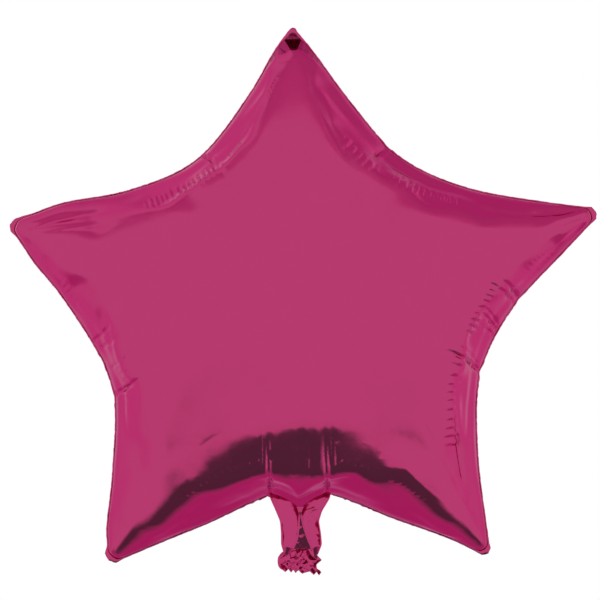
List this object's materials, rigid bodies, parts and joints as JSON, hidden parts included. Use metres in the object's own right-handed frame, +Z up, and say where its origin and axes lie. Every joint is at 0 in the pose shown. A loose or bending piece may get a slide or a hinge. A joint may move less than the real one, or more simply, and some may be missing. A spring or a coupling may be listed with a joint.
{
  "type": "star foil balloon",
  "caption": "Blown-up magenta foil balloon in the shape of a star, with gathered seams and a folded filling neck below.",
  "frame": {"origin": "middle of the neck at its narrowest place below the star, where the ribbon or stick holds it", "axes": "+Z up through the top tip, +X to the right seen from the front, the front face looks along -Y"},
  "size_m": [0.4498, 0.15, 0.4212],
  "materials": {
    "magenta_foil": "tinted mirror-bright metallised film, finely gathered along the weld"
  },
  "bodies": {
    "root": {"foil_star": "magenta_foil"}
  },
  "joints": []
}
